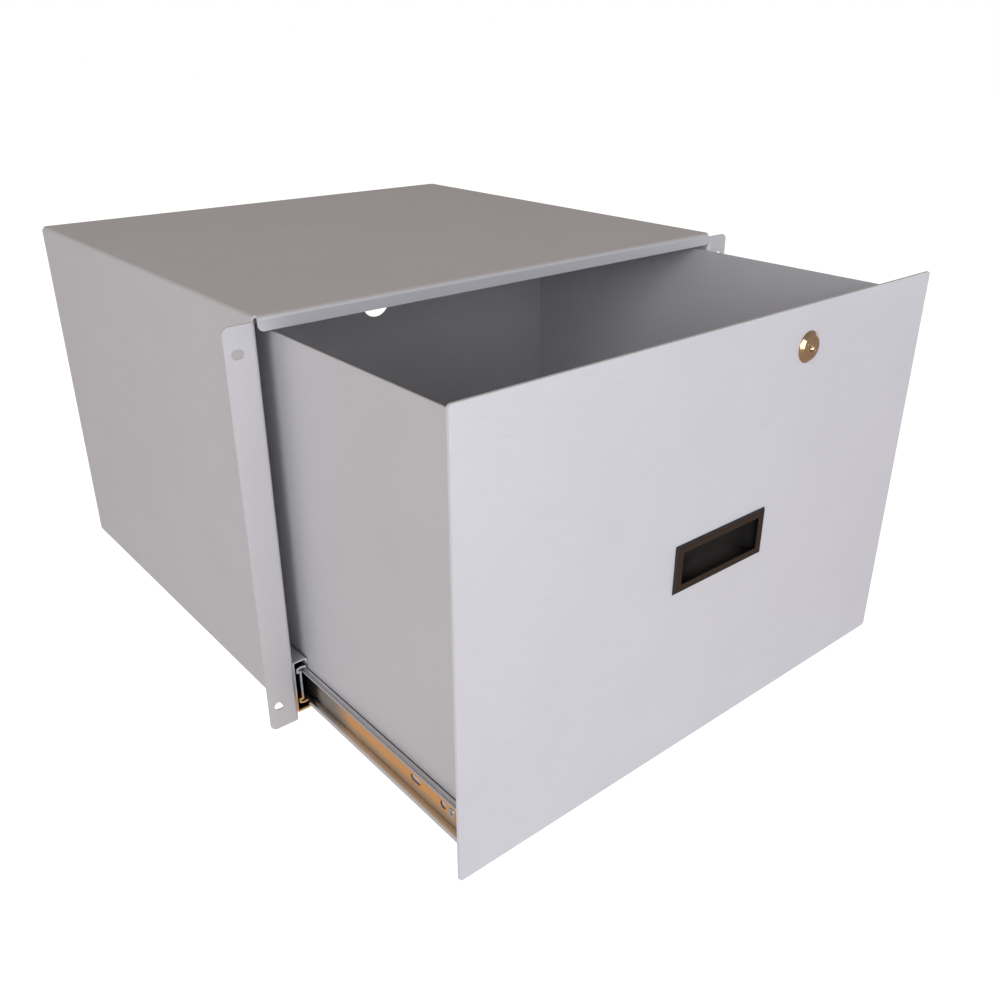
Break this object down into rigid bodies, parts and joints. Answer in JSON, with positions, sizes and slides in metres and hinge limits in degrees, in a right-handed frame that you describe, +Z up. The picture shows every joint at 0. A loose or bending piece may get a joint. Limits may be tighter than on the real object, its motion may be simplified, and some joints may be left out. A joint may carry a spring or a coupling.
{
  "type": "sliding rack drawer",
  "caption": "Tall rack-mount storage drawer on telescopic ball-bearing slides, with a bent sheet chassis, slotted rack ears, recessed pull and cam lock.",
  "frame": {"origin": "centre of the four rack ear slots, on the rear face of the ears, which seats on the rack rails", "axes": "+X to the right as seen from the front, +Y into the rack, +Z up"},
  "size_m": [0.4826, 0.6151, 0.3075],
  "materials": {
    "satin_sheet": "satin, fine grain",
    "drawer_sheet": "satin, fine grain",
    "panel_sheet": "satin, fine grain",
    "slide_zinc": "bright zinc plated",
    "cage_steel": "pressed steel, bright",
    "ball_steel": "polished",
    "zinc_hardware": "zinc plated",
    "lock_chrome": "polished",
    "moulded_plastic": "dark brown-black, lightly textured",
    "nylon": "natural nylon"
  },
  "bodies": {
    "chassis": {"chassis_shell": "satin_sheet", "left_outer_rail": "slide_zinc", "left_end_stop": "nylon", "right_outer_rail": "slide_zinc", "right_end_stop": "nylon"},
    "left_middle": {"left_middle_rail": "slide_zinc"},
    "right_middle": {"right_middle_rail": "slide_zinc"},
    "left_outer_bearing": {"left_outer_cage": "cage_steel", "left_outer_balls": "ball_steel"},
    "right_outer_bearing": {"right_outer_cage": "cage_steel", "right_outer_balls": "ball_steel"},
    "left_inner_bearing": {"left_inner_cage": "cage_steel", "left_inner_balls": "ball_steel"},
    "right_inner_bearing": {"right_inner_cage": "cage_steel", "right_inner_balls": "ball_steel"},
    "drawer": {"drawer_wrap": "drawer_sheet", "drawer_back": "drawer_sheet", "front_panel": "panel_sheet", "recessed_pull": "moulded_plastic", "lock_body": "lock_chrome", "lock_nut": "zinc_hardware", "left_drawer_rail": "slide_zinc", "right_drawer_rail": "slide_zinc"},
    "lock_barrel": {"lock_plug": "lock_chrome", "lock_cam": "zinc_hardware", "lock_cam_bolt": "zinc_hardware"}
  },
  "joints": [
    {"name": "left_middle_slide", "type": "slide", "parent": "chassis", "child": "left_middle", "axis": [0, -1, 0], "range_m": [0, 0.2]},
    {"name": "right_middle_slide", "type": "slide", "parent": "chassis", "child": "right_middle", "axis": [0, -1, 0], "range_m": [0, 0.2]},
    {"name": "left_outer_bearing_slide", "type": "slide", "parent": "chassis", "child": "left_outer_bearing", "axis": [0, -1, 0], "range_m": [0, 0.1]},
    {"name": "right_outer_bearing_slide", "type": "slide", "parent": "chassis", "child": "right_outer_bearing", "axis": [0, -1, 0], "range_m": [0, 0.1]},
    {"name": "drawer_slide", "type": "slide", "parent": "left_middle", "child": "drawer", "axis": [0, -1, 0], "range_m": [-0.199, 0]},
    {"name": "left_inner_bearing_slide", "type": "slide", "parent": "left_middle", "child": "left_inner_bearing", "axis": [0, -1, 0], "range_m": [-0.0995, 0]},
    {"name": "right_inner_bearing_slide", "type": "slide", "parent": "right_middle", "child": "right_inner_bearing", "axis": [0, -1, 0], "range_m": [-0.0995, 0]},
    {"name": "lock_turn", "type": "hinge", "parent": "drawer", "child": "lock_barrel", "pos_m": [0.075, -0.2028, 0.1255], "axis": [0, 1, 0], "range_deg": [0, 90]}
  ],
  "couplings": [
    {"joint": "right_middle_slide", "follows": "left_middle_slide", "ratio": 1},
    {"joint": "left_outer_bearing_slide", "follows": "left_middle_slide", "ratio": 0.5},
    {"joint": "right_outer_bearing_slide", "follows": "left_middle_slide", "ratio": 0.5},
    {"joint": "left_inner_bearing_slide", "follows": "drawer_slide", "ratio": 0.5},
    {"joint": "right_inner_bearing_slide", "follows": "drawer_slide", "ratio": 0.5}
  ]
}
